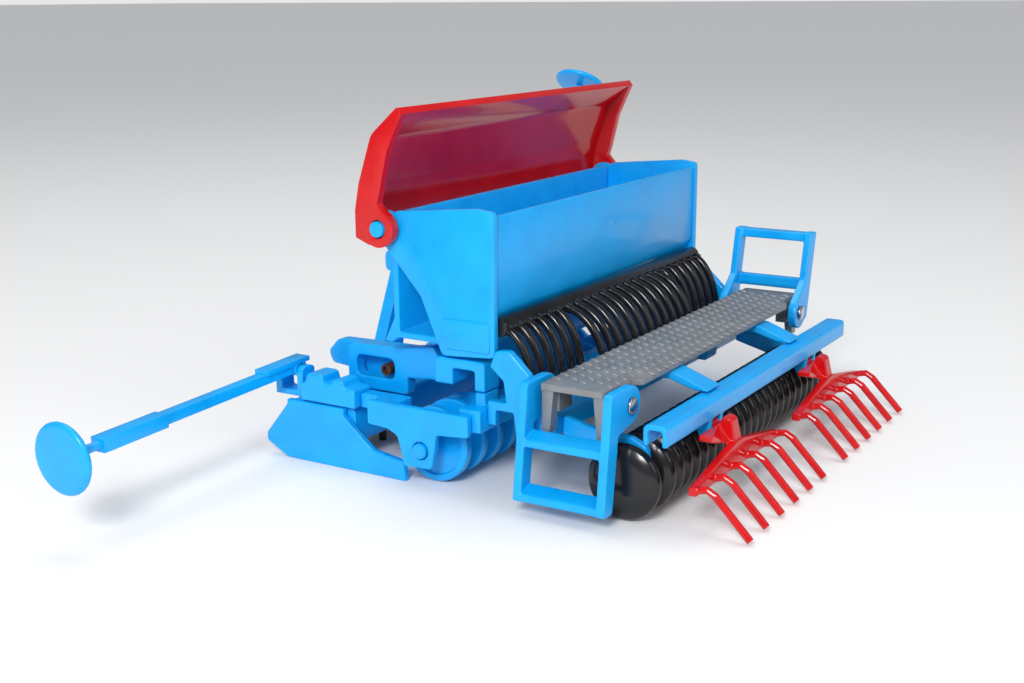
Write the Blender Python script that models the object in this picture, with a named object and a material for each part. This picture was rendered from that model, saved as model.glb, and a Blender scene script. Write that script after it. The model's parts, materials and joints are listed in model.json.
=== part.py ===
"""Toy seed drill on a power harrow, at 1:32: hopper with an open lid, seed tubes, packer
roller, disc roller, loading platform with a ladder and a guard rail, marker arms and rakes.

Sizes are in millimetres; MM turns them into metres where a mesh is made.
+X points to the tractor, +Y to the machine's left, +Z up. While the pieces are drawn, x is 0
at the hopper's rear edge, y is 0 in the middle and z is 0 on the floor.
"""

from math import cos, pi, radians, sin

import bmesh
import bpy
from mathutils import Matrix, Vector

MM = 0.001

# Clearances
GAP = 0.3            # between two pieces that rest on each other
PIN_GAP = 0.25       # round a pin in its hole

# Overall sizes
HALF = 47.0          # half the width over the hopper's ends
END_WALL = 1.5       # thickness of a hopper end
WALL = 1.3           # thickness of the hopper's sheet walls
REACH = 63.0         # marker pivot to marker disc

# Hopper, in x and z
LID_PIVOT = (25.3, 51.2)
LID_PIN = 1.6
LID_EAR = 3.7
LID_WALL = 1.9       # thickness of the lid's end flange
HOPPER_FLOOR = 28.5
FRONT_WALL_X = 25.0
BAR_CENTRE = (0.1, 33.4)
BAR_RADIUS = 1.9

# Seed tubes
TUBES = 24
TUBE_RADIUS = 0.8
TUBE_SPAN = HALF - 3.0      # the outermost tube's y
OUTER_TUBES = 6             # on each side, with the steeper curve

# Harrow
TROUGH_X = (33.5, 50.0)
TROUGH_Z = (5.0, 13.0)
PLATE_Y = (HALF + 1.4, HALF + 3.0)          # side plate
ROLLER_ARM_Y = (PLATE_Y[1] + GAP, PLATE_Y[1] + GAP + 1.6)

# Packer roller
PACKER = (14.6, 7.9)        # axle in x and z; it stands on the floor
PACKER_RINGS = 16
PACKER_CORE = 5.0
PACKER_AXLE = 1.6

# Coulters
BEAM_X = (-13.0, -6.0)
BEAM_Z = (13.7, 17.7)
CARRIER_Y = (HALF - 1.0, HALF + 0.8)
ROLLER = (-28.0, 7.6)       # disc roller's axle
ROLLER_RINGS = 22           # between the two disc arms; one more runs outside each arm
ROLLER_CORE = 4.6
ROLLER_AXLE = 1.5
DISC_ARM_Y = (HALF - 4.8, HALF - 3.2)

# Platform
DECK_X = (-27.5, -12.3)
DECK_END_X = -25.6
DECK_TOP = 25.35
DECK_THICK = 1.25
DECK_HALF = HALF + 3.3
DECK_MIDDLE = HALF - 8.0
LEG_Y = (HALF + 0.2, HALF + 2.9)
LEG_BOTTOM = 15.8

# Ladder and guard rail: one moulding, hung down on the left and stood up on the right
RAIL_WIDE = 1.8
LADDER_PIVOT = (HALF - 2.3, 21.95)        # y and z
LADDER_PIN = 1.1
LADDER_EAR = 3.8
LADDER_FRONT_X = (DECK_X[1] + 1.55, DECK_X[1] + 1.55 + RAIL_WIDE)
LADDER_REAR_X = (DECK_END_X - 1.04 - RAIL_WIDE, DECK_END_X - 1.04)

# Rear bar, its arms and the rakes
BAR_X = (-37.85, -33.05)
BAR_Z = (16.35, 20.35)
BAR_HALF = HALF + 2.5
BAR_SKIN = 1.0
BAR_ARM_Y = (19.5, 25.5)
RAKE_PIVOT = (-36.4, 14.4)          # x and z
RAKE_Y = 26.6
RAKE_PIN = 0.8
RAKE_HUB = 1.65
RAKE_WIDE = 3.2
RAKE_TINES = 6
RAKE_PITCH = 7.87
TINE_RADIUS = 0.8

# Marker arms
MARKER_PIVOT = (51.0, HALF - 1.0, 19.0)
MARKER_PIN = 0.8
MARKER_KNUCKLE = 1.8
MARKER_WIDE = 3.6
MARKER_DISC = 6.9
MARKER_REST = {"left": -2.0, "right": 57.0}    # degrees above level

BLUE = ("blue_paint", (0.010, 0.215, 0.620), 0.35, 0.0)
RED = ("red_plastic", (0.600, 0.012, 0.012), 0.30, 0.0)
BLACK = ("black_plastic", (0.012, 0.012, 0.013), 0.25, 0.0)
GREY = ("grey_plastic", (0.200, 0.205, 0.205), 0.45, 0.0)
STEEL = ("steel", (0.560, 0.560, 0.550), 0.30, 1.0)
BROWN = ("brown_pin", (0.120, 0.050, 0.035), 0.50, 0.3)

SIDES = {"left": 1, "right": -1}


# ---------------------------------------------------------------- solids

def temporary(bm):
    """Puts a bmesh in the scene as an object that a Boolean can use."""
    bmesh.ops.recalc_face_normals(bm, faces=bm.faces)
    mesh = bpy.data.meshes.new("temporary")
    bm.to_mesh(mesh)
    bm.free()
    obj = bpy.data.objects.new("temporary", mesh)
    bpy.context.scene.collection.objects.link(obj)
    return obj


def place(axis, along, point):
    """A point of an outline drawn across an axis: (x, z) for Y, (y, z) for X, (x, y) for Z."""
    u, v = point
    if axis == "Y":
        return Vector((u, along, v))
    if axis == "X":
        return Vector((along, u, v))
    return Vector((u, v, along))


def rounded(corners, steps=3):
    """An outline whose corners (u, v, radius) are rounded; (u, v) stays sharp."""
    points = []
    for index, corner in enumerate(corners):
        here = Vector(corner[:2])
        if len(corner) < 3:
            points.append(tuple(here))
            continue
        before = Vector(corners[index - 1][:2]) - here
        after = Vector(corners[(index + 1) % len(corners)][:2]) - here
        half = before.angle(after) / 2
        cut = min(corner[2] / max(sin(half) / cos(half), 0.01), before.length * 0.45, after.length * 0.45)
        start = here + before.normalized() * cut
        end = here + after.normalized() * cut
        for step in range(steps + 1):
            t = step / steps
            points.append(tuple((1 - t) ** 2 * start + 2 * t * (1 - t) * here + t ** 2 * end))
    return points


def prism(axis, low, high, corners):
    """An outline pushed along an axis from low to high."""
    outline = rounded(corners)
    bm = bmesh.new()
    face = bm.faces.new([bm.verts.new(place(axis, low, point)) for point in outline])
    pushed = bmesh.ops.extrude_face_region(bm, geom=[face])
    verts = [item for item in pushed["geom"] if isinstance(item, bmesh.types.BMVert)]
    bmesh.ops.translate(bm, verts=verts, vec=place(axis, high, (0, 0)) - place(axis, low, (0, 0)))
    return temporary(bm)


def box(xs, ys, zs):
    return prism("Z", zs[0], zs[1], [(xs[0], ys[0]), (xs[1], ys[0]), (xs[1], ys[1]), (xs[0], ys[1])])


def turned(axis, centre, profile, sides=24):
    """A solid turned about an axis: profile rows are (radius, place along the axis)."""
    bm = bmesh.new()
    rings = []
    for radius, along in profile:
        ring = []
        for side in range(sides):
            angle = 2 * pi * (side + 0.5) / sides
            point = (centre[0] + radius * cos(angle), centre[1] + radius * sin(angle))
            ring.append(bm.verts.new(place(axis, along, point)))
        rings.append(ring)
    bm.faces.new(rings[0])
    bm.faces.new(rings[-1])
    for one, two in zip(rings, rings[1:]):
        for side in range(sides):
            nxt = (side + 1) % sides
            bm.faces.new((one[side], one[nxt], two[nxt], two[side]))
    return temporary(bm)


def rod(axis, centre, radius, low, high, sides=16):
    return turned(axis, centre, [(radius, low), (radius, high)], sides)


def tube(points, radius, sides=8):
    """A round bar along points."""
    bm = bmesh.new()
    points = [Vector(point) for point in points]
    rings = []
    for index, point in enumerate(points):
        ahead = points[min(index + 1, len(points) - 1)] - points[max(index - 1, 0)]
        turn = Vector((0, 1, 0)).cross(ahead).normalized()
        across = ahead.cross(turn).normalized()
        ring = []
        for side in range(sides):
            angle = 2 * pi * (side + 0.5) / sides
            ring.append(bm.verts.new(point + radius * (cos(angle) * turn + sin(angle) * across)))
        rings.append(ring)
    bm.faces.new(rings[0])
    bm.faces.new(rings[-1])
    for one, two in zip(rings, rings[1:]):
        for side in range(sides):
            nxt = (side + 1) % sides
            bm.faces.new((one[side], one[nxt], two[nxt], two[side]))
    return temporary(bm)


def combined(target, others, operation):
    """The target after a Boolean with the other objects, which are removed."""
    if not others:
        return target
    group = bpy.data.collections.new("operands")
    bpy.context.scene.collection.children.link(group)
    for obj in others:
        group.objects.link(obj)
    modifier = target.modifiers.new("boolean", "BOOLEAN")
    modifier.operation = operation
    modifier.solver = "EXACT"
    modifier.operand_type = "COLLECTION"
    modifier.collection = group
    modifier.use_self = True
    result = bpy.data.meshes.new_from_object(target.evaluated_get(bpy.context.evaluated_depsgraph_get()))
    target.modifiers.clear()
    target.data = result
    for obj in others:
        bpy.data.objects.remove(obj)
    bpy.data.collections.remove(group)
    return target


# ---------------------------------------------------------------- nodes

def material(finish):
    name, colour, roughness, metallic = finish
    found = bpy.data.materials.get(name)
    if found:
        return found
    found = bpy.data.materials.new(name)
    found.use_nodes = True
    shader = found.node_tree.nodes["Principled BSDF"]
    shader.inputs["Base Color"].default_value = (*colour, 1)
    shader.inputs["Roughness"].default_value = roughness
    shader.inputs["Metallic"].default_value = metallic
    return found


def body(name, at):
    """An empty on a joint's axis that carries the pieces which move together."""
    empty = bpy.data.objects.new(name, None)
    bpy.context.scene.collection.objects.link(empty)
    empty.location = Vector(at) * MM
    return empty


def node(name, finish, carrier, adds, cuts=(), smooth=False):
    """One named piece: the adds joined, the cuts taken away, hung on its carrier."""
    target = combined(adds[0], adds[1:], "UNION")
    target = combined(target, list(cuts), "DIFFERENCE")
    mesh = target.data
    origin = carrier.location / MM
    mesh.transform(Matrix.Translation(-origin))
    mesh.transform(Matrix.Scale(MM, 4))
    if smooth:
        mesh.shade_smooth()
        mesh.set_sharp_from_angle(angle=radians(40))
    mesh.materials.clear()
    mesh.materials.append(material(finish))
    mesh.name = name
    target.name = name
    target.parent = carrier
    return target


def spread(side, ys):
    """A y range on the given side, low end first."""
    return tuple(sorted(SIDES[side] * y for y in ys))


# ---------------------------------------------------------------- hopper

def hopper(frame):
    inner = HALF - END_WALL - GAP
    outside = [(0.3, 55.0), (0.3, 37.7), (2.6, 34.0), (4.5, HOPPER_FLOOR), (24.2, HOPPER_FLOOR),
               (25.6, 27.4), (27.4, 27.6), (FRONT_WALL_X, 32.5), (FRONT_WALL_X, 54.0)]
    inside = [(0.3 + WALL, 60.0), (0.3 + WALL, 38.1), (3.9, 34.3), (5.6, HOPPER_FLOOR + WALL),
              (FRONT_WALL_X - WALL, HOPPER_FLOOR + WALL), (FRONT_WALL_X - WALL, 60.0)]
    node("hopper_tub", BLUE, frame, [prism("Y", -inner, inner, outside)],
         [prism("Y", -inner - 1, inner + 1, inside)])
    profile = [(0.0, 27.6, 1.2), (0.0, 55.9, 1.0), (3.9, 56.4, 1.5), (22.5, 54.7), (28.0, 50.0),
               (25.1, 47.1), (17.1, 38.2, 2.0), (12.2, 26.7, 1.5)]
    for side in SIDES:
        ys = spread(side, (HALF - END_WALL, HALF))
        raised = spread(side, (HALF - END_WALL, HALF + 0.35))
        pin = spread(side, (HALF - END_WALL, HALF + GAP * 2 + LID_WALL + 0.6))
        node("hopper_end_" + side, BLUE, frame,
             [prism("Y", *ys, profile), rod("Y", LID_PIVOT, 3.4, *ys, 24),
              prism("Y", *raised, [(1.0, 28.4, 0.8), (1.0, 34.4, 0.8), (12.2, 34.4, 0.8), (11.0, 28.4, 0.8)]),
              rod("Y", LID_PIVOT, LID_PIN, *pin)])


def lid(frame):
    carrier = body("lid_axis", (LID_PIVOT[0], 0, LID_PIVOT[1]))
    outer = HALF + GAP * 2 + LID_WALL
    panel = [(20.1, 75.0), (26.3, 69.6, 4.0), (29.6, 60.0, 5.0), (30.7, 54.6), (30.7, 49.2), (29.2, 49.2),
             (29.1, 54.3), (28.0, 59.6, 4.0), (24.9, 68.8, 3.0), (19.2, 73.8)]
    flange = [(20.1, 75.0), (26.3, 69.6, 4.0), (29.6, 60.0, 5.0), (30.7, 54.6), (30.7, 49.2), (27.4, 47.9),
              LID_PIVOT, (23.3, 54.0), (25.3, 56.3), (24.6, 58.5), (22.6, 66.5), (19.2, 73.8)]
    adds = [prism("Y", -outer + 0.5, outer - 0.5, panel)]
    holes = []
    for side in SIDES:
        ys = spread(side, (outer - LID_WALL, outer))
        adds.append(prism("Y", *ys, flange))
        adds.append(rod("Y", LID_PIVOT, LID_EAR, *ys, 24))
        holes.append(rod("Y", LID_PIVOT, LID_PIN + PIN_GAP, *spread(side, (outer - LID_WALL - 1, outer + 1)), 24))
    node("lid", RED, carrier, adds, holes)
    return carrier


def seed_tubes(frame):
    """The metering bar under the hopper and the tubes that fall from it to the coulter beam."""
    curves = {"outer": ((-1.0, 33.2), (-6.6, 30.8), (-7.4, BEAM_Z[1] + GAP)),
              "middle": ((-1.0, 33.2), (-10.0, 31.4), (-11.2, BEAM_Z[1] + GAP))}
    adds = [rod("Y", BAR_CENTRE, BAR_RADIUS, -(HALF - END_WALL - GAP), HALF - END_WALL - GAP, 12)]
    for index in range(TUBES):
        y = TUBE_SPAN * (1 - 2 * index / (TUBES - 1))
        middle = OUTER_TUBES <= index < TUBES - OUTER_TUBES
        start, bend, end = (Vector(point) for point in curves["middle" if middle else "outer"])
        points = []
        for step in range(7):
            t = step / 6
            x, z = (1 - t) ** 2 * start + 2 * t * (1 - t) * bend + t ** 2 * end
            points.append((x, y, z))
        adds.append(tube(points, TUBE_RADIUS, 6))
    node("seed_tubes", BLACK, frame, adds, smooth=True)


# ---------------------------------------------------------------- harrow

def harrow(frame):
    inner = PLATE_Y[0] - GAP
    node("harrow_trough", BLUE, frame,
         [prism("Y", -inner, inner, [(TROUGH_X[0], TROUGH_Z[0], 1), (TROUGH_X[0], TROUGH_Z[1], 1.5),
                                     (TROUGH_X[1], TROUGH_Z[1], 1.5), (TROUGH_X[1], TROUGH_Z[0], 1)])])
    rotors = [box((38, 46), (-inner, inner), (TROUGH_Z[0] - GAP - 1.3, TROUGH_Z[0] - GAP))]
    for index in range(20):
        y = (inner - 3.0) * (1 - 2 * index / 19)
        x = 39.6 if index % 2 else 44.4
        rotors.append(rod("Z", (x, y), 0.9, 0.4, TROUGH_Z[0] - GAP - 0.5, 8))
    node("harrow_tines", BLACK, frame, rotors)
    plate = [(19.7, 0.0), (50.5, 0.0, 2.0), (56.3, 3.0, 1.2), (56.1, 4.8, 1.0), (50.2, 12.0, 1.0),
             (50.2, 13.0), (35.2, 13.0), (35.2, 11.3), (27.9, 5.3, 1.0), (20.2, 4.1, 0.5)]
    band = [(32.3, 13.3), (46.5, 13.3), (46.5, 17.0, 0.6), (45.2, 17.4), (44.6, 19.4, 0.8),
            (40.6, 19.4, 0.8), (40.2, 17.6), (38.4, 17.6), (38.0, 18.8, 0.8), (35.4, 18.8, 0.8),
            (34.8, 17.4), (32.3, 17.2, 0.6)]
    for side in SIDES:
        node("harrow_side_" + side, BLUE, frame, [prism("Y", *spread(side, PLATE_Y), plate)])
        node("harrow_cap_" + side, BLUE, frame,
             [prism("Y", *spread(side, (44.0, PLATE_Y[1] - 0.2)), band)])


def headstock(frame):
    """Three-point tower in front of the trough, with its top and lower link lugs."""
    x = TROUGH_X[1] + GAP
    tower = [(-17, 5), (-17, 13), (-6, 37, 2), (6, 37, 2), (17, 13), (17, 5), (8.8, 5), (8.8, 11),
             (3.5, 31), (-3.5, 31), (-8.8, 11), (-8.8, 5)]
    adds = [prism("X", x, x + 3, tower)]
    for y, low, high in ((13.0, 5.0, 11.0), (16.0, 5.0, 11.0), (2.4, 32.0, 37.0)):
        for sign in (1, -1):
            ys = sorted((sign * (y - 0.6), sign * (y + 0.9)))
            adds.append(prism("Y", *ys, [(x + 1, low), (x + 1, high), (58, high, 1.5), (58, low, 1.5)]))
    node("headstock", BLUE, frame, adds)
    for side in SIDES:
        node("headstock_brace_" + side, BLUE, frame,
             [prism("Y", *spread(side, (5.0, 7.5)),
                    [(x - GAP, 34.5), (x - GAP, 31.0), (24.3, 19.5), (24.3, 23.0)])])


def coupling(frame):
    """What joins the drill to the harrow: a cross beam, two link arms and two slotted plates."""
    node("drill_beam", BLUE, frame,
         [prism("Y", -37.0, 37.0, [(16, 18, 1), (24, 18, 1), (24, 24, 1), (16, 24, 1)])])
    arm = [(24.3, 24.0), (47.2, 23.5, 2.0), (50.1, 20.4, 1.5), (48.8, 17.9, 1.0), (44.0, 17.5),
           (42.0, 13.3), (34.0, 13.3), (30.0, 18.0), (24.3, 18.0)]
    plate = [(41.0, 13.3), (41.0, 23.6, 1.2), (39.5, 24.5, 1.2), (26.0, 25.0), (19.0, 26.2, 1.0),
             (15.3, 19.5), (25.6, 18.6), (25.6, 15.0, 0.8), (36.0, 15.0), (36.0, 13.3)]
    slot = [(28.9, 17.7, 1.6), (38.8, 17.7, 1.6), (38.8, 22.2, 1.6), (28.9, 22.2, 1.6)]
    for side in SIDES:
        node("link_arm_" + side, BLUE, frame, [prism("Y", *spread(side, (32.7, 35.7)), arm)])
        node("coupling_plate_" + side, BLUE, frame, [prism("Y", *spread(side, (37.3, 40.3)), plate)],
             [prism("Y", *spread(side, (36.3, 41.3)), slot)])
        node("coupling_pin_" + side, BROWN, frame,
             [rod("Y", (31.0, 19.7), 1.3, *spread(side, (36.0, 40.6)), 16)], smooth=True)
        foot = [(2.9, 20.2), (2.9, 26.2, 1.0), (14.6, 26.2, 1.0), (14.6, 20.8), (10.4, 20.8),
                (10.4, 24.2, 0.5), (5.2, 24.2, 0.5), (5.2, 20.2)]
        node("hopper_foot_" + side, BLUE, frame,
             [prism("Y", *spread(side, (40.6, 46.2)), foot),
              box((6.0, 10.6), spread(side, (40.6, 44.5)), (25.0, HOPPER_FLOOR - GAP))])


# ---------------------------------------------------------------- packer roller

def packer(frame):
    carrier = body("packer_axis", (PACKER[0], 0, PACKER[1]))
    pitch = (2 * HALF - 2.6) / (PACKER_RINGS - 1)
    tip = ROLLER_ARM_Y[1] + 0.7
    profile = [(PACKER_AXLE, -tip), (PACKER_AXLE, -HALF + 0.6)]
    for index in range(PACKER_RINGS):
        y = -HALF + 1.3 + pitch * index
        profile += [(PACKER_CORE, y - 1.3), (PACKER[1], y - 0.9), (PACKER[1], y + 0.9), (PACKER_CORE, y + 1.3)]
    profile[2] = (PACKER_CORE, -HALF + 0.6)
    profile[3] = (PACKER[1], -HALF + 0.4)
    profile[1] = (PACKER_AXLE, -HALF + 0.9)
    profile[-2] = (PACKER[1], HALF - 0.4)
    profile[-1] = (PACKER_CORE, HALF - 0.6)
    profile += [(PACKER_AXLE, HALF - 0.9), (PACKER_AXLE, tip)]
    node("packer_roller", BLUE, carrier, [turned("Y", PACKER, profile, 20)], smooth=True)
    return carrier


def roller_arms(frame):
    plate = [(27.5, 16.6, 0.6), (3.2, 16.6, 0.6), (3.2, 12.3, 0.6), (10.7, 11.7), (11.2, 8.6), (12.0, 4.4, 1.0),
             (18.7, 4.0, 1.0), (19.4, 7.6), (20.2, 10.2, 1.2), (22.6, 11.3, 0.8), (27.5, 11.6, 0.6)]
    for side in SIDES:
        ys = spread(side, ROLLER_ARM_Y)
        hole = spread(side, (ROLLER_ARM_Y[0] - 1, ROLLER_ARM_Y[1] + 1))
        node("roller_arm_" + side, BLUE, frame,
             [prism("Y", *ys, plate),
              box((21.6, 27.5), spread(side, (44.3, ROLLER_ARM_Y[0] + 0.4)), (13.3, 16.3)),
              box((27.0, 32.0), spread(side, (44.3, 48.0)), (13.3, 16.3))],
             [rod("Y", PACKER, PACKER_AXLE + PIN_GAP, *hole, 24)])
    bar = [box((1.5, 6.5), (-ROLLER_ARM_Y[0] + GAP, ROLLER_ARM_Y[0] - GAP), (13.0, 17.5))]
    for side in SIDES:
        bar.append(box((2.9, 5.2), spread(side, (41.0, 46.0)), (17.0, 20.2 - GAP)))
    node("scraper_bar", BLUE, frame, bar)


# ---------------------------------------------------------------- coulters and platform

def coulters(frame):
    node("coulter_beam", BLUE, frame,
         [box(BEAM_X, (-CARRIER_Y[0] + GAP, CARRIER_Y[0] - GAP), BEAM_Z)])
    carrier = [(1.2, 19.3), (-3.0, 19.3), (-2.4, 23.6), (0.6, 26.2), (-0.6, 29.4, 1.0), (-3.6, 29.8, 1.5),
               (-8.3, 25.4, 1.0), (-8.3, 12.5), (-5.2, 12.5), (-4.6, 17.6), (-0.6, 17.6), (-0.6, 14.5),
               (1.2, 14.5)]
    arm = [(-13.3, 13.8), (-13.3, 17.4), (-20.7, 15.8), (-28.0, 15.4, 1.0), (-31.4, 13.8, 1.5),
           (-31.6, 7.0, 2.0), (-28.0, 4.2, 2.0), (-24.6, 6.0, 1.5), (-21.5, 11.6)]
    for side in SIDES:
        node("carrier_" + side, BLUE, frame, [prism("Y", *spread(side, CARRIER_Y), carrier)])
        node("disc_arm_" + side, BLUE, frame, [prism("Y", *spread(side, DISC_ARM_Y), arm)],
             [rod("Y", ROLLER, ROLLER_AXLE + PIN_GAP, *spread(side, (DISC_ARM_Y[0] - 1, DISC_ARM_Y[1] + 1)), 20)])


def disc_roller(frame):
    carrier = body("disc_axis", (ROLLER[0], 0, ROLLER[1]))
    inner = DISC_ARM_Y[0] - 0.6
    pitch = 2 * inner / ROLLER_RINGS
    outer = (DISC_ARM_Y[1] + 0.6, DISC_ARM_Y[1] + 0.6 + pitch)

    def ring(low):
        return [(ROLLER_CORE, low), (ROLLER[1], low + 0.3 * pitch), (ROLLER[1], low + 0.7 * pitch)]

    profile = ring(-outer[1])
    profile += [(ROLLER_CORE, -outer[0]), (ROLLER_AXLE, -outer[0] + 0.01), (ROLLER_AXLE, -inner - 0.01)]
    for index in range(ROLLER_RINGS):
        profile += ring(-inner + pitch * index)
    profile += [(ROLLER_CORE, inner), (ROLLER_AXLE, inner + 0.01), (ROLLER_AXLE, outer[0] - 0.01)]
    profile += ring(outer[0]) + [(ROLLER_CORE, outer[1])]
    node("disc_roller", BLACK, carrier, [turned("Y", ROLLER, profile, 16)], smooth=True)
    return carrier


def platform(frame):
    deck = [(DECK_X[1], -DECK_HALF), (DECK_X[1], DECK_HALF), (DECK_END_X, DECK_HALF, 1.0),
            (DECK_END_X, DECK_MIDDLE), (DECK_X[0], DECK_MIDDLE - 1.0, 0.5), (DECK_X[0], -DECK_MIDDLE + 1.0, 0.5),
            (DECK_END_X, -DECK_MIDDLE), (DECK_END_X, -DECK_HALF, 1.0)]
    under = DECK_TOP - DECK_THICK
    adds = [prism("Z", under, DECK_TOP, deck)]
    for side in SIDES:
        for near, far in ((DECK_X[1], DECK_X[1] - 2.5), (DECK_END_X, DECK_END_X + 2.5)):
            slim = near + (far - near) * 0.65
            adds.append(prism("Y", *spread(side, LEG_Y),
                              [(near, under + 0.5), (far, under + 0.5), (slim, LEG_BOTTOM), (near, LEG_BOTTOM)]))
            adds.append(box(sorted((near, far)), spread(side, (LADDER_PIVOT[0] - 2, LEG_Y[0] + 0.5)),
                            (LADDER_PIVOT[1] - 2.4, under + 0.5)))
    node("platform", GREY, frame, adds)


def ladder_pins(frame):
    """Rivets along X that carry the ladder and the guard rail; each ends on a platform leg."""
    for side, sign in SIDES.items():
        centre = (sign * LADDER_PIVOT[0], LADDER_PIVOT[1])
        rows = (("front", DECK_X[1] + GAP, LADDER_FRONT_X[1] + 0.15, LADDER_FRONT_X[1] + 0.6),
                ("rear", DECK_END_X - GAP, LADDER_REAR_X[0] - 0.15, LADDER_REAR_X[0] - 0.7))
        for end, seat, neck, tip in rows:
            profile = [(LADDER_PIN, seat), (LADDER_PIN, neck), (LADDER_PIN + 0.6, neck), (LADDER_PIN + 0.1, tip)]
            node("ladder_pin_" + side + "_" + end, STEEL, frame, [turned("X", centre, profile, 16)], smooth=True)


def ladder_frame(name, side, rail, ear, rungs):
    """Two rails with ears at the pivot and two rungs; outlines are (distance out from the pivot, z)."""
    sign = SIDES[side]
    centre = (sign * LADDER_PIVOT[0], LADDER_PIVOT[1])
    carrier = body(name + "_axis", ((LADDER_FRONT_X[1] + LADDER_REAR_X[0]) / 2, *centre))

    def outline(points):
        return [(sign * (LADDER_PIVOT[0] + point[0]), *point[1:]) for point in points]

    adds = []
    holes = []
    for xs in (LADDER_FRONT_X, LADDER_REAR_X):
        adds.append(prism("X", *xs, outline(rail)))
        adds.append(prism("X", *xs, outline(ear)))
        adds.append(rod("X", centre, LADDER_EAR, *xs, 20))
        holes.append(rod("X", centre, LADDER_PIN + PIN_GAP, xs[0] - 1, xs[1] + 1, 20))
    for rung in rungs:
        adds.append(prism("X", LADDER_REAR_X[1] - 0.6, LADDER_FRONT_X[0] + 0.6, outline(rung)))
    node(name, BLUE, carrier, adds, holes)
    return carrier


def ladder(frame):
    rail = [(4.6, 25.75, 0.6), (8.1, 25.6, 1.2), (8.5, 21.0), (10.8, 3.0, 0.6), (7.2, 3.0, 0.6), (5.4, 15.0)]
    ear = [(0.0, 25.75), (5.7, 25.75), (6.7, 16.0), (5.5, 17.2), (-2.3, 18.9)]
    rungs = ([(5.6, 14.5), (9.2, 13.5), (9.2, 15.0), (5.6, 16.2)],
             [(7.1, 4.1), (10.6, 3.1), (10.6, 4.6), (7.0, 5.9)])
    return ladder_frame("ladder", "left", rail, ear, rungs)


def guard_rail(frame):
    rail = [(1.6, 19.9, 0.6), (4.7, 19.9, 0.6), (5.3, 22.5), (9.3, 40.2, 0.6), (5.7, 40.2, 0.6), (2.7, 27.0)]
    ear = [(0.0, 18.15), (4.1, 19.9), (5.5, 28.0), (2.9, 29.0), (-2.7, 24.6)]
    rungs = ([(5.6, 26.2), (6.7, 26.2), (7.2, 29.0), (5.1, 29.0), (5.1, 26.9)],
             [(5.6, 38.0), (8.6, 38.0), (9.1, 40.0), (5.9, 40.0)])
    return ladder_frame("guard_rail", "right", rail, ear, rungs)


# ---------------------------------------------------------------- rear bar and rakes

def rear_bar(frame):
    outline = [(BAR_X[0], BAR_Z[0]), (BAR_X[0], BAR_Z[1], 1.0), (BAR_X[1], BAR_Z[1], 1.0), (BAR_X[1], BAR_Z[0])]
    lug = [(RAKE_PIVOT[0] - 1.4, BAR_Z[0] + 0.8), (RAKE_PIVOT[0] + 1.4, BAR_Z[0] + 0.8),
           (RAKE_PIVOT[0] + 1.4, RAKE_PIVOT[1] - 1.4, 1.0), (RAKE_PIVOT[0] - 1.4, RAKE_PIVOT[1] - 1.4, 1.0)]
    channel = [box((BAR_X[0] + BAR_SKIN, BAR_X[1] - BAR_SKIN), (-BAR_HALF - 1, BAR_HALF + 1),
                   (BAR_Z[0] - 1, BAR_Z[1] - BAR_SKIN))]
    bar = combined(prism("Y", -BAR_HALF, BAR_HALF, outline), channel, "DIFFERENCE")
    lugs = []
    for side in SIDES:
        middle = SIDES[side] * RAKE_Y
        for edge in (-1, 1):
            near = middle + edge * (RAKE_WIDE / 2 + GAP)
            lugs.append(prism("Y", *sorted((near, near + edge * 1.2)), lug))
        reach = RAKE_WIDE / 2 + GAP + 0.6
        lugs.append(rod("Y", RAKE_PIVOT, RAKE_PIN, middle - reach, middle + reach, 12))
    node("rear_bar", BLUE, frame, [bar] + lugs)
    arm = [(BEAM_X[0] - GAP, 14.2), (BEAM_X[0] - GAP, 17.4), (-15.2, 23.8), (-27.8, 23.8),
           (BAR_X[1] - 2.2, BAR_Z[1] + GAP + 0.4), (BAR_X[1] - 2.4, BAR_Z[1] + GAP),
           (BAR_X[1] + 0.8, BAR_Z[1] + GAP), (-27.0, 22.2), (-16.8, 22.2), (-15.4, 14.2)]
    for side in SIDES:
        node("bar_arm_" + side, BLUE, frame, [prism("Y", *spread(side, BAR_ARM_Y), arm)])


def rake(frame, side):
    middle = SIDES[side] * RAKE_Y
    carrier = body("rake_axis_" + side, (RAKE_PIVOT[0], middle, RAKE_PIVOT[1]))
    half = RAKE_WIDE / 2
    neck = [(-36.4, 15.6), (-38.6, 15.3), (-39.8, 17.3, 0.8), (-41.4, 16.8, 0.8), (-42.7, 11.5),
            (-42.7, 8.4), (-41.1, 8.4), (-40.9, 11.5), (-40.0, 14.6, 0.8), (-36.4, 12.9)]
    span = RAKE_PITCH * (RAKE_TINES - 1) / 2
    web = [(middle - span - 0.8, 7.4), (middle + span + 0.8, 7.4), (middle + span + 0.8, 9.0),
           (middle + half, 12.6), (middle - half, 12.6), (middle - span - 0.8, 9.0)]
    adds = [prism("Y", middle - half, middle + half, neck),
            rod("Y", RAKE_PIVOT, RAKE_HUB, middle - half, middle + half, 16),
            prism("X", -42.8, -41.2, web),
            prism("X", -41.2, -38.4, [(middle + 1.0, 15.6), (middle + 1.0, 11.9), (middle + 10.0, 14.4, 0.4),
                                      (middle + 10.0, 15.6, 0.4)])]
    for index in range(RAKE_TINES):
        y = middle - span + RAKE_PITCH * index
        route = [(-41.6, y, 8.2), (-44.6, y, 8.9), (-46.2, y, 8.0), (-53.2, y, 0.75)]
        adds.append(tube(route, TINE_RADIUS, 6))
    hole = rod("Y", RAKE_PIVOT, RAKE_PIN + PIN_GAP, middle - half - 1, middle + half + 1, 16)
    node("rake_" + side, RED, carrier, adds, [hole])
    return carrier


# ---------------------------------------------------------------- marker arms

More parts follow.
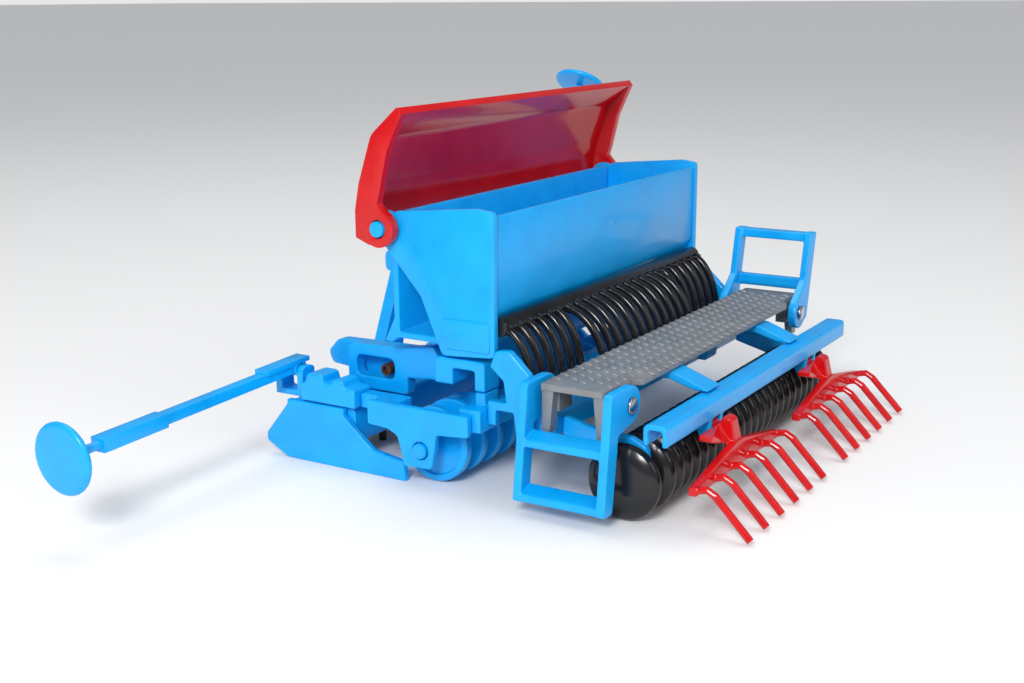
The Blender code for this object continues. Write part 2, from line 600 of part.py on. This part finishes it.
def marker(frame, side):
    """A marker arm on its bracket; the arm is drawn level and turned to its rest angle."""
    sign = SIDES[side]
    px, py, pz = MARKER_PIVOT
    half = MARKER_WIDE / 2
    ears = []
    for edge in (-1, 1):
        near = px + edge * (half + GAP)
        ears.append(prism("X", *sorted((near, near + edge * 1.6)),
                          [(sign * (py - 2.2), TROUGH_Z[1] + GAP), (sign * (py - 2.2), pz + 0.7, 1.2),
                           (sign * (py + 2.0), pz + 0.7, 1.2), (sign * (py + 2.0), TROUGH_Z[1] + GAP)]))
    ears.append(rod("X", (sign * py, pz), MARKER_PIN, px - half - GAP - 0.8, px + half + GAP + 0.8, 12))
    ears.append(box((px - half - GAP - 1.6, px + half + GAP + 1.6), sorted((sign * (py - 2.2), sign * (py + 2.0))),
                    (TROUGH_Z[1] + GAP, TROUGH_Z[1] + GAP + 1.3)))
    node("marker_bracket_" + side, BLUE, frame, ears)

    carrier = body("marker_axis_" + side, (px, sign * py, pz))
    turn = (Matrix.Translation((px, sign * py, pz)) @ Matrix.Rotation(sign * radians(MARKER_REST[side]), 4, "X"))

    def out(distance):
        return sign * distance

    def turned_up(objects):
        for obj in objects:
            obj.data.transform(turn)
        return objects

    bar = [box((-1.3, 1.3), sorted((out(0.5), out(REACH - 23.0))), (-0.9, 1.2)),
           box((-1.7, 1.7), sorted((out(REACH - 24.0), out(REACH - 8.0))), (-1.3, 1.4)),
           box((-half, half), sorted((out(-2.9), out(10.5))), (1.0, 2.0)),
           rod("X", (0, 0), MARKER_KNUCKLE, -half, half, 16),
           rod("Y", (0, 0), 0.9, *sorted((out(REACH - 9.0), out(REACH - 1.05))), 10)]
    hole = [rod("X", (0, 0), MARKER_PIN + PIN_GAP, -half - 1, half + 1, 16)]
    node("marker_arm_" + side, BLUE, carrier, turned_up(bar), turned_up(hole))
    disc = [turned("Y", (0, 0), [(MARKER_DISC - 0.5, out(REACH - 0.75)), (MARKER_DISC, out(REACH - 0.3)),
                                 (MARKER_DISC, out(REACH + 0.35)), (MARKER_DISC - 0.6, out(REACH + 0.75))], 32)]
    node("marker_disc_" + side, BLUE, carrier, turned_up(disc), smooth=True)
    return carrier


# ---------------------------------------------------------------- whole machine

def stand(root, nodes):
    """Sets the machine down with the middle of its box over the origin."""
    bpy.context.view_layer.update()
    points = [obj.matrix_world @ Vector(corner) for obj in nodes for corner in obj.bound_box]
    low = Vector([min(point[axis] for point in points) for axis in range(3)])
    high = Vector([max(point[axis] for point in points) for axis in range(3)])
    root.location = (-(low.x + high.x) / 2, -(low.y + high.y) / 2, -low.z)
    bpy.context.view_layer.update()


def build():
    for obj in list(bpy.data.objects):
        bpy.data.objects.remove(obj)
    frame = body("frame_axis", (0, 0, 0))
    hopper(frame)
    seed_tubes(frame)
    harrow(frame)
    headstock(frame)
    coupling(frame)
    roller_arms(frame)
    coulters(frame)
    platform(frame)
    ladder_pins(frame)
    rear_bar(frame)
    moving = [lid(frame), packer(frame), disc_roller(frame), ladder(frame), guard_rail(frame)]
    for side in SIDES:
        moving.append(rake(frame, side))
        moving.append(marker(frame, side))
    for carrier in moving:
        carrier.parent = frame
    stand(frame, [obj for obj in bpy.data.objects if obj.type == "MESH"])


build()
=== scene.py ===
"""Looks of the toy seed drill: rounded mouldings, treaded deck, turned rollers, tubes, paint."""

import json
from math import cos, pi, radians, sin

import bpy
from mathutils import Matrix, Vector

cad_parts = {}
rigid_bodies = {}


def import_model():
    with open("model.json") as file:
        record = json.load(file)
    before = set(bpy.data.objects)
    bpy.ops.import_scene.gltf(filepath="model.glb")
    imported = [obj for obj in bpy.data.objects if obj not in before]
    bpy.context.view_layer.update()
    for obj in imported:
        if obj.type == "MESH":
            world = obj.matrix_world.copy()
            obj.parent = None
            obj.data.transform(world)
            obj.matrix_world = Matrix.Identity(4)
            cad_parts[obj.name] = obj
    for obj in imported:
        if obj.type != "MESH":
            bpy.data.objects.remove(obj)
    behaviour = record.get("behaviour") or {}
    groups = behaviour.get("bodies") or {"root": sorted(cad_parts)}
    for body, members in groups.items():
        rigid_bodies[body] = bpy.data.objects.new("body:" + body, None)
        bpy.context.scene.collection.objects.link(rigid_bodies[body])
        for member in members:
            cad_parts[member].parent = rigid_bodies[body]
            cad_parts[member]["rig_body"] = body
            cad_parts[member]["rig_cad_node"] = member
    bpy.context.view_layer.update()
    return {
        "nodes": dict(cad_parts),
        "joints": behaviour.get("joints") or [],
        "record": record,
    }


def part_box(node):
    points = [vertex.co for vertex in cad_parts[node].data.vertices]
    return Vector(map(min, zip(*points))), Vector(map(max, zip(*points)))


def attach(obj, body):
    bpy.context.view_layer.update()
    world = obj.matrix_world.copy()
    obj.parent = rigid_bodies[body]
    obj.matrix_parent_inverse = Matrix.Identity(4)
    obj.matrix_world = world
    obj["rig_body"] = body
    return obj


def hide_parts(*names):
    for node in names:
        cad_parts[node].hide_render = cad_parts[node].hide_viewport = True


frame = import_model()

NODES = frame["nodes"]
BODIES = frame["record"]["behaviour"]["bodies"]
BODY_OF = {name: body for body, names in BODIES.items() for name in names}
SLOT_OF = {row["node"]: row["material_slot"] for row in frame["record"]["subparts"]}
PIVOT = {joint["child"]: Vector(joint["pos_m"]) for joint in frame["joints"]}
SIDES = {"left": 1, "right": -1}
MM = 0.001
TREAD_ROW = 2.72 * MM
TREAD_STEP = 3.06 * MM
TREAD_SLANT = 20.0      # degrees from the machine's length

HOPPER_LOW, HOPPER_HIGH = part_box("hopper_tub")
MIDDLE_Y = (HOPPER_LOW.y + HOPPER_HIGH.y) / 2
REAR_X = HOPPER_LOW.x - 0.3 * MM        # the hopper ends' rear edge


# ---------------------------------------------------------------- materials

def node_of(tree, kind, place, **inputs):
    made = tree.nodes.new(kind)
    made.location = place
    for name, value in inputs.items():
        made.inputs[name].default_value = value
    return made


def finish(name, dark, light, roughness, grain, bump, coat=0.0, metallic=0.0, patch=140.0):
    """Paint or plastic with slow colour variation, uneven gloss and a fine moulded grain.

    dark and light are the ends of the colour, roughness the ends of the gloss; patch and grain
    are the scales of the slow variation and of the grain, and bump is the grain's strength.
    """
    made = bpy.data.materials.new(name)
    made.use_nodes = True
    tree = made.node_tree
    shader = tree.nodes["Principled BSDF"]
    shader.inputs["Metallic"].default_value = metallic
    shader.inputs["Coat Weight"].default_value = coat
    shader.inputs["Coat Roughness"].default_value = 0.08
    shader.inputs["Specular IOR Level"].default_value = 0.38
    where = node_of(tree, "ShaderNodeTexCoord", (-1100, 0))
    slow = node_of(tree, "ShaderNodeTexNoise", (-850, 200), Scale=patch, Detail=3.0)
    fine = node_of(tree, "ShaderNodeTexNoise", (-850, -250), Scale=grain, Detail=4.0)
    ramp = node_of(tree, "ShaderNodeValToRGB", (-600, 200))
    ramp.color_ramp.elements[0].position = 0.35
    ramp.color_ramp.elements[0].color = (*dark, 1)
    ramp.color_ramp.elements[1].position = 0.65
    ramp.color_ramp.elements[1].color = (*light, 1)
    gloss = node_of(tree, "ShaderNodeMapRange", (-600, -50))
    gloss.inputs["From Min"].default_value = 0.3
    gloss.inputs["From Max"].default_value = 0.7
    gloss.inputs["To Min"].default_value = roughness[0]
    gloss.inputs["To Max"].default_value = roughness[1]
    relief = node_of(tree, "ShaderNodeBump", (-350, -250), Strength=bump, Distance=0.00005)
    tree.links.new(where.outputs["Object"], slow.inputs["Vector"])
    tree.links.new(where.outputs["Object"], fine.inputs["Vector"])
    tree.links.new(slow.outputs["Fac"], ramp.inputs["Fac"])
    tree.links.new(slow.outputs["Fac"], gloss.inputs["Value"])
    tree.links.new(fine.outputs["Fac"], relief.inputs["Height"])
    tree.links.new(ramp.outputs["Color"], shader.inputs["Base Color"])
    tree.links.new(gloss.outputs["Result"], shader.inputs["Roughness"])
    tree.links.new(relief.outputs["Normal"], shader.inputs["Normal"])
    return made


FINISH = {
    "blue_paint": finish("blue_enamel", dark=(0.001, 0.340, 0.800), light=(0.001, 0.385, 0.880),
                         roughness=(0.26, 0.36), grain=900.0, bump=0.03, coat=0.15),
    "red_plastic": finish("red_moulding", dark=(0.520, 0.004, 0.006), light=(0.590, 0.006, 0.008),
                          roughness=(0.12, 0.20), grain=1000.0, bump=0.02, coat=0.15),
    "black_plastic": finish("black_moulding", dark=(0.006, 0.006, 0.007), light=(0.011, 0.011, 0.012),
                            roughness=(0.18, 0.28), grain=1200.0, bump=0.03, coat=0.2),
    "grey_plastic": finish("silver_grey_moulding", dark=(0.235, 0.240, 0.245), light=(0.285, 0.290, 0.295),
                           roughness=(0.34, 0.46), grain=1800.0, bump=0.12, metallic=0.35),
    "steel": finish("rivet_steel", dark=(0.520, 0.515, 0.500), light=(0.660, 0.655, 0.640),
                    roughness=(0.20, 0.34), grain=2400.0, bump=0.12, metallic=1.0),
    "brown_pin": finish("browned_pin", dark=(0.055, 0.022, 0.014), light=(0.140, 0.062, 0.042),
                        roughness=(0.45, 0.65), grain=1600.0, bump=0.35, metallic=0.3, patch=700.0),
}


# ---------------------------------------------------------------- modelling by operators

def deselect():
    if bpy.context.object and bpy.context.object.mode != "OBJECT":
        bpy.ops.object.mode_set(mode="OBJECT")
    for obj in bpy.context.selected_objects:
        obj.select_set(False)


def choose(*objects):
    deselect()
    for obj in objects:
        obj.select_set(True)
    bpy.context.view_layer.objects.active = objects[0]


def edit(obj, action):
    """Runs an action on the whole mesh in edit mode."""
    choose(obj)
    bpy.ops.object.mode_set(mode="EDIT")
    bpy.ops.mesh.select_all(action="SELECT")
    action()
    bpy.ops.object.mode_set(mode="OBJECT")


def apply_modifiers(obj):
    choose(obj)
    for modifier in list(obj.modifiers):
        bpy.ops.object.modifier_apply(modifier=modifier.name)


def dress(obj, name, body, slot, stands_for=()):
    """Names a finished piece, gives it its finish and hangs it on its body."""
    obj.name = name
    obj.data.name = name
    obj.data.materials.clear()
    obj.data.materials.append(FINISH[slot])
    if stands_for:
        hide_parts(*stands_for)
    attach(obj, body)
    return obj


def merged_copy(node):
    """A copy of a node with its triangles joined and its flat faces whole."""
    source = NODES[node]
    choose(source)
    bpy.ops.object.duplicate()
    copy = bpy.context.object
    copy.parent = None
    copy.matrix_world = Matrix.Identity(4)
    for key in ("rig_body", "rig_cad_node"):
        if key in copy:
            del copy[key]

    def join_faces():
        bpy.ops.mesh.remove_doubles(threshold=0.000002)
        bpy.ops.mesh.dissolve_limited(angle_limit=radians(0.8))

    edit(copy, join_faces)
    return copy


def rounded(node, edge, corner, miter="MITER_ARC", smooth=38):
    """A copy of a node with a round of edge mm on every edge that turns more than corner degrees."""
    copy = merged_copy(node)
    bevel = copy.modifiers.new("edges", "BEVEL")
    bevel.width = edge * MM
    bevel.segments = 3
    bevel.limit_method = "ANGLE"
    bevel.angle_limit = radians(corner)
    bevel.miter_outer = miter
    apply_modifiers(copy)
    choose(copy)
    bpy.ops.object.shade_smooth_by_angle(angle=radians(smooth))
    return copy


def moulding(node, edge):
    """A node with the rounded edges of a casting or a moulding."""
    copy = rounded(node, edge, 32)
    return dress(copy, node + "_moulding", BODY_OF[node], SLOT_OF[node], [node])


def soft(node, grid):
    """A node as one fused, softly rounded moulding: remeshed on a fine grid and smoothed."""
    copy = merged_copy(node)
    remesh = copy.modifiers.new("fuse", "REMESH")
    remesh.mode = "VOXEL"
    remesh.voxel_size = grid * MM
    soften = copy.modifiers.new("soften", "SMOOTH")
    soften.factor = 0.5
    soften.iterations = 6
    apply_modifiers(copy)
    choose(copy)
    bpy.ops.object.shade_smooth()
    return dress(copy, node + "_moulding", BODY_OF[node], SLOT_OF[node], [node])


def turned(centre, rows, sides=64):
    """A disc extruded and resized row by row along Y; rows are (radius, y) in metres."""
    bpy.ops.object.select_all(action="DESELECT")
    first_radius, first_y = rows[0]
    bpy.ops.mesh.primitive_circle_add(vertices=sides, radius=first_radius, fill_type="NGON",
                                      location=(centre[0], first_y, centre[1]), rotation=(pi / 2, 0, 0))
    obj = bpy.context.object
    bpy.ops.object.transform_apply(location=True, rotation=True, scale=True)
    bpy.ops.object.mode_set(mode="EDIT")
    bpy.ops.mesh.select_all(action="SELECT")
    for (radius, y), (wider, further) in zip(rows, rows[1:]):
        bpy.ops.mesh.extrude_region_move(TRANSFORM_OT_translate={"value": (0, further - y, 0)})
        if abs(wider - radius) > 1e-7:
            ratio = wider / radius
            middle = (centre[0], further, centre[1])
            bpy.ops.transform.resize(value=(ratio, 1, ratio), center_override=middle)
    bpy.ops.mesh.select_all(action="SELECT")
    bpy.ops.mesh.normals_make_consistent(inside=False)
    bpy.ops.object.mode_set(mode="OBJECT")
    bpy.ops.object.shade_smooth_by_angle(angle=radians(35))
    return obj


def swept(points, radius):
    """A round bar along points, as a bevelled curve made into a mesh."""
    bpy.ops.object.select_all(action="DESELECT")
    bpy.ops.curve.primitive_nurbs_path_add()
    obj = bpy.context.object
    curve = obj.data
    curve.splines.clear()
    spline = curve.splines.new("POLY")
    spline.points.add(len(points) - 1)
    for point, place in zip(spline.points, points):
        point.co = (*place, 1)
    curve.dimensions = "3D"
    curve.bevel_depth = radius
    curve.bevel_resolution = 4
    curve.use_fill_caps = True
    obj.location = (0, 0, 0)
    bpy.ops.object.convert(target="MESH")
    obj = bpy.context.object
    bpy.ops.object.shade_smooth_by_angle(angle=radians(50))
    return obj


def joined(objects):
    choose(*objects)
    if len(objects) > 1:
        bpy.ops.object.join()
    return bpy.context.object


def bezier(points, steps):
    """Points of a quadratic curve through three guides."""
    start, bend, end = (Vector(point) for point in points)
    made = []
    for step in range(steps + 1):
        t = step / steps
        made.append((1 - t) ** 2 * start + 2 * t * (1 - t) * bend + t ** 2 * end)
    return made


# ---------------------------------------------------------------- mouldings that follow the frame

EDGE = 0.32             # mm of rounding on an edge, unless listed
EDGES = {
    "hopper_tub": 0.30, "hopper_end_left": 0.45, "hopper_end_right": 0.45, "lid": 0.42,
    "platform": 0.28, "harrow_trough": 0.5,
}
# fineness of the grid, in mm, for the pieces with soft corners
SOFT = {
    "ladder": 0.19, "guard_rail": 0.19, "link_arm": 0.21, "coupling_plate": 0.20, "harrow_cap": 0.20,
    "roller_arm": 0.20, "hopper_foot": 0.20, "carrier": 0.18, "bar_arm": 0.20, "rear_bar": 0.24,
    "harrow_side": 0.22, "disc_arm": 0.20, "marker_bracket": 0.15, "rake": 0.17,
}
MADE_BELOW = ("packer_roller", "disc_roller", "seed_tubes", "ladder_pin", "marker_disc", "coupling_pin")


def mouldings():
    """Every node that keeps its own shape, with soft corners or rounded edges."""
    for node in sorted(NODES):
        family = node.removesuffix("_left").removesuffix("_right")
        if family in SOFT:
            soft(node, SOFT[family])
        elif not node.startswith(MADE_BELOW):
            moulding(node, EDGES.get(node, EDGE))


# ---------------------------------------------------------------- turned pieces

def packer_roller():
    """Ring roller with a raised rim and a dished face on each end disc."""
    low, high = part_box("packer_roller")
    axis = PIVOT["packer_roller"]
    radius = axis.z - low.z
    shoulder = radius - 0.35 * MM
    half = HOPPER_HIGH.y - MIDDLE_Y + 1.8 * MM
    end = MIDDLE_Y - half
    axle = 1.6 * MM
    core = 5.0 * MM
    rings = 16
    pitch = (2 * half - 2.6 * MM) / (rings - 1)
    face = [(axle * 0.55, low.y + 0.02 * MM), (axle * 0.85, low.y + 0.1 * MM), (axle, low.y + 0.4 * MM),
            (axle, end + 0.9 * MM), (radius * 0.62, end + 0.9 * MM), (radius * 0.80, end + 0.75 * MM),
            (radius * 0.83, end + 0.15 * MM), (shoulder, end + 0.1 * MM), (radius, end + 0.45 * MM),
            (radius, end + 2.0 * MM), (shoulder, end + 2.35 * MM), (core, end + 2.6 * MM)]
    rows = list(face)
    for index in range(1, rings - 1):
        y = end + 1.3 * MM + pitch * index
        rows += [(core, y - 1.2 * MM), (shoulder, y - 0.95 * MM), (radius, y - 0.6 * MM),
                 (radius, y + 0.6 * MM), (shoulder, y + 0.95 * MM), (core, y + 1.2 * MM)]
    rows += [(r, 2 * MIDDLE_Y - y) for r, y in reversed(face)]
    obj = turned((axis.x, axis.z), rows, 72)
    dress(obj, "packer_roller_rings", "packer_roller", "blue_paint", ["packer_roller"])


def disc_roller():
    """Black roller of narrow discs with smooth rounded tips."""
    low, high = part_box("disc_roller")
    axis = PIVOT["disc_roller"]
    radius = axis.z - low.z
    arm_low, arm_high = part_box("disc_arm_left")
    inner = arm_low.y - 0.6 * MM - MIDDLE_Y
    outer = arm_high.y + 0.6 * MM - MIDDLE_Y
    end = high.y - MIDDLE_Y
    core = radius - 3.0 * MM
    axle = 1.5 * MM
    discs = 22
    pitch = 2 * inner / discs
    gap = 0.02 * MM
    # depth below the tip, and place across the disc
    section = ((radius - core, 0.0), (0.5 * MM, 0.22), (0.12 * MM, 0.33), (0.0, 0.5),
               (0.12 * MM, 0.67), (0.5 * MM, 0.78), (radius - core, 1.0))

    def disc(start, width):
        return [(radius - depth, start + share * width) for depth, share in section]

    rows = disc(-end, end - outer) + [(axle, -outer + gap), (axle, -inner - gap)]
    for index in range(discs):
        rows += disc(-inner + pitch * index, pitch)[0 if index == 0 else 1:]
    rows += [(axle, inner + gap), (axle, outer - gap)] + disc(outer, end - outer)
    obj = turned((axis.x, axis.z), [(r, MIDDLE_Y + y) for r, y in rows], 64)
    dress(obj, "disc_roller_discs", "disc_roller", "black_plastic", ["disc_roller"])


def marker_discs():
    for side in SIDES:
        node = "marker_disc_" + side
        disc = rounded(node, 0.3, 25, miter="MITER_SHARP", smooth=35)
        dress(disc, "marker_disc_rounded_" + side, "marker_" + side, "blue_paint", [node])


def rivet_rows(head, length):
    """A rivet's shank and its domed head, as (radius, distance along)."""
    dome = 0.35 * MM
    shoulder = length - 0.5 * MM
    rows = [(head * 0.64, 0.0), (head * 0.64, shoulder), (head, shoulder), (head, length - dome)]
    for step in range(1, 6):
        angle = radians(18 * step - 5)
        rows.append((head * cos(angle), length - dome + dome * sin(angle)))
    return rows


def ladder_rivets():
    """Domed rivet heads in the ears of the ladder and the guard rail."""
    for side in SIDES:
        for end, way in (("front", 1), ("rear", -1)):
            node = "ladder_pin_" + side + "_" + end
            low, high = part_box(node)
            centre = (low + high) / 2
            obj = turned((0.0, 0.0), rivet_rows((high.y - low.y) / 2, high.x - low.x), 32)
            foot = low.x if way > 0 else high.x
            place = Matrix.Translation((foot, centre.y, centre.z))
            obj.data.transform(place @ Matrix.Rotation(-way * pi / 2, 4, "Z"))
            dress(obj, "ladder_rivet_" + side + "_" + end, "frame", "steel", [node])


def rolled_pins():
    """The pins in the slots of the coupling plates, hollow at their outer ends."""
    for side, sign in SIDES.items():
        low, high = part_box("coupling_pin_" + side)
        centre = (low + high) / 2
        radius = (high.z - low.z) / 2
        rows = [(radius * 0.9, low.y), (radius, low.y + 0.15 * MM), (radius, high.y - 0.15 * MM),
                (radius * 0.9, high.y), (radius * 0.55, high.y), (radius * 0.5, high.y - 0.8 * MM)]
        if sign < 0:
            rows = [(r, low.y + high.y - y) for r, y in rows]
        obj = turned((centre.x, centre.z), rows, 40)
        dress(obj, "rolled_pin_" + side, "frame", "brown_pin", ["coupling_pin_" + side])


# ---------------------------------------------------------------- tubes and tread

def seed_tubes():
    """Metering bar and the smooth tubes that curve down from it, each with a collar where it leaves the
    bar.
    """
    low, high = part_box("seed_tubes")
    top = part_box("coulter_beam")[1].z + 0.3 * MM
    radius = 1.9 * MM
    bar = (REAR_X + 0.1 * MM, 33.4 * MM)
    pieces = [turned(bar, [(radius * 0.93, low.y), (radius, low.y + 0.2 * MM),
                           (radius, high.y - 0.2 * MM), (radius * 0.93, high.y)], 32)]
    count = 24
    outer = 6               # tubes at each end that stand steeper
    span = HOPPER_HIGH.y - MIDDLE_Y + 1.8 * MM - 3.0 * MM
    # guide points of a tube: mm behind the hopper and mm up, ending at the coulter beam
    steep = ((-1.0, 33.2), (-6.6, 30.8), (-7.4, top / MM))
    leaning = ((-1.0, 33.2), (-10.0, 31.4), (-11.2, top / MM))
    for index in range(count):
        y = MIDDLE_Y + span * (1 - 2 * index / (count - 1))
        route = leaning if outer <= index < count - outer else steep
        guides = [(REAR_X + x * MM, z * MM) for x, z in route]
        points = [(x, y, z) for x, z in bezier(guides, 20)]
        pieces.append(swept(points, 0.90 * MM))
        foot_x, foot_z = points[1][0], points[1][2]
        collar = [(foot_x + 0.5 * MM, y, foot_z + 0.2 * MM), (foot_x - 0.7 * MM, y, foot_z - 0.25 * MM)]
        pieces.append(swept(collar, 1.15 * MM))
    dress(joined(pieces), "seed_tube_row", "frame", "black_plastic", ["seed_tubes"])


def tread():
    """Raised lozenges in staggered rows over the deck."""
    low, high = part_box("platform")
    sunk = high.z - 0.03 * MM
    rows = 6
    wide, narrow = 48.3 * MM, 37.4 * MM     # half the length of a row, and of the rearmost ones
    bpy.ops.object.select_all(action="DESELECT")
    bpy.ops.mesh.primitive_uv_sphere_add(segments=12, ring_count=8, radius=1.0 * MM)
    tear = bpy.context.object

    def shape():
        bpy.ops.transform.resize(value=(1.35, 0.62, 0.36), center_override=(0, 0, 0))
        bpy.ops.transform.rotate(value=radians(TREAD_SLANT), orient_axis="Z", center_override=(0, 0, 0))

    edit(tear, shape)
    made = []
    for row in range(rows):
        x = high.x - 0.95 * MM - TREAD_ROW * row
        reach = wide if x > low.x + 2.2 * MM else narrow
        count = int(2 * reach / TREAD_STEP)
        start = MIDDLE_Y - (count - 1) * TREAD_STEP / 2
        if row % 2:
            start += TREAD_STEP / 2
            count -= 1
        choose(tear)
        bpy.ops.object.duplicate()
        line = bpy.context.object
        line.data.transform(Matrix.Translation((x, start, sunk)))
        array = line.modifiers.new("along", "ARRAY")
        array.use_relative_offset = False
        array.use_constant_offset = True
        array.constant_offset_displace = (0, TREAD_STEP, 0)
        array.count = count
        array.merge_threshold = 0.000001
        apply_modifiers(line)
        made.append(line)
    bpy.data.objects.remove(tear)
    obj = joined(made)
    choose(obj)
    bpy.ops.object.shade_smooth()
    dress(obj, "deck_tread", "frame", "grey_plastic")


# ---------------------------------------------------------------- light, floor, camera

def surroundings():
    """A soft grey sky, seen paler by the camera and darker in reflections."""
    world = bpy.data.worlds.new("studio")
    bpy.context.scene.world = world
    world.use_nodes = True
    tree = world.node_tree
    path = node_of(tree, "ShaderNodeLightPath", (-900, 0))
    seen = node_of(tree, "ShaderNodeMix", (-500, 0))
    seen.data_type = "RGBA"
    seen.inputs["A"].default_value = (0.58, 0.59, 0.61, 1)
    seen.inputs["B"].default_value = (0.80, 0.80, 0.80, 1)
    mirrored = node_of(tree, "ShaderNodeMix", (-250, 0))
    mirrored.data_type = "RGBA"
    mirrored.inputs["B"].default_value = (0.22, 0.23, 0.25, 1)
    tree.links.new(path.outputs["Is Camera Ray"], seen.inputs["Factor"])
    tree.links.new(seen.outputs["Result"], mirrored.inputs["A"])
    tree.links.new(path.outputs["Is Glossy Ray"], mirrored.inputs["Factor"])
    tree.links.new(mirrored.outputs["Result"], tree.nodes["Background"].inputs["Color"])


def floor():
    bpy.ops.object.select_all(action="DESELECT")
    bpy.ops.mesh.primitive_plane_add(size=40.0, location=(0, 0, 0))
    plane = bpy.context.object
    plane.name = "studio_floor"
    made = bpy.data.materials.new("pale_floor")
    made.use_nodes = True
    shader = made.node_tree.nodes["Principled BSDF"]
    shader.inputs["Base Color"].default_value = (0.86, 0.86, 0.85, 1)
    shader.inputs["Roughness"].default_value = 0.8
    plane.data.materials.append(made)


def lamps():
    """Three area lamps: name, place in metres, size in metres and power in watts."""
    rows = (("key", (-0.16, 0.52, 0.36), 0.16, 2.7), ("fill", (-0.55, 0.05, 0.35), 0.30, 0.6),
            ("top", (0.20, -0.10, 0.70), 0.35, 1.1))
    target = Vector((0, 0, 0.03))
    for name, place, size, power in rows:
        light = bpy.data.lights.new(name, "AREA")
        light.energy = power
        light.size = size
        lamp = bpy.data.objects.new(name, light)
        bpy.context.scene.collection.objects.link(lamp)
        lamp.location = place
        lamp.rotation_euler = (target - Vector(place)).to_track_quat("-Z", "Y").to_euler()


def camera():
    """Low view from the rear left, a little above the hopper's rim."""
    azimuth, elevation, roll = radians(211.43), radians(14.0), radians(-0.35)
    lens = bpy.data.cameras.new("camera")
    lens.lens = 48.69
    lens.sensor_width = 36.0
    lens.clip_start = 0.01
    obj = bpy.data.objects.new("camera", lens)
    bpy.context.scene.collection.objects.link(obj)
    obj.location = (REAR_X - 137.6 * MM, MIDDLE_Y + 265.6 * MM, 95.5 * MM)
    aim = Matrix.Rotation(azimuth, 3, "Z") @ Matrix.Rotation(pi / 2 - elevation, 3, "X")
    obj.rotation_euler = (aim @ Matrix.Rotation(roll, 3, "Z")).to_euler()
    bpy.context.scene.camera = obj


camera()
mouldings()
packer_roller()
disc_roller()
marker_discs()
ladder_rivets()
rolled_pins()
seed_tubes()
tread()
surroundings()
floor()
lamps()

scene = bpy.context.scene
scene.view_settings.view_transform = "Standard"
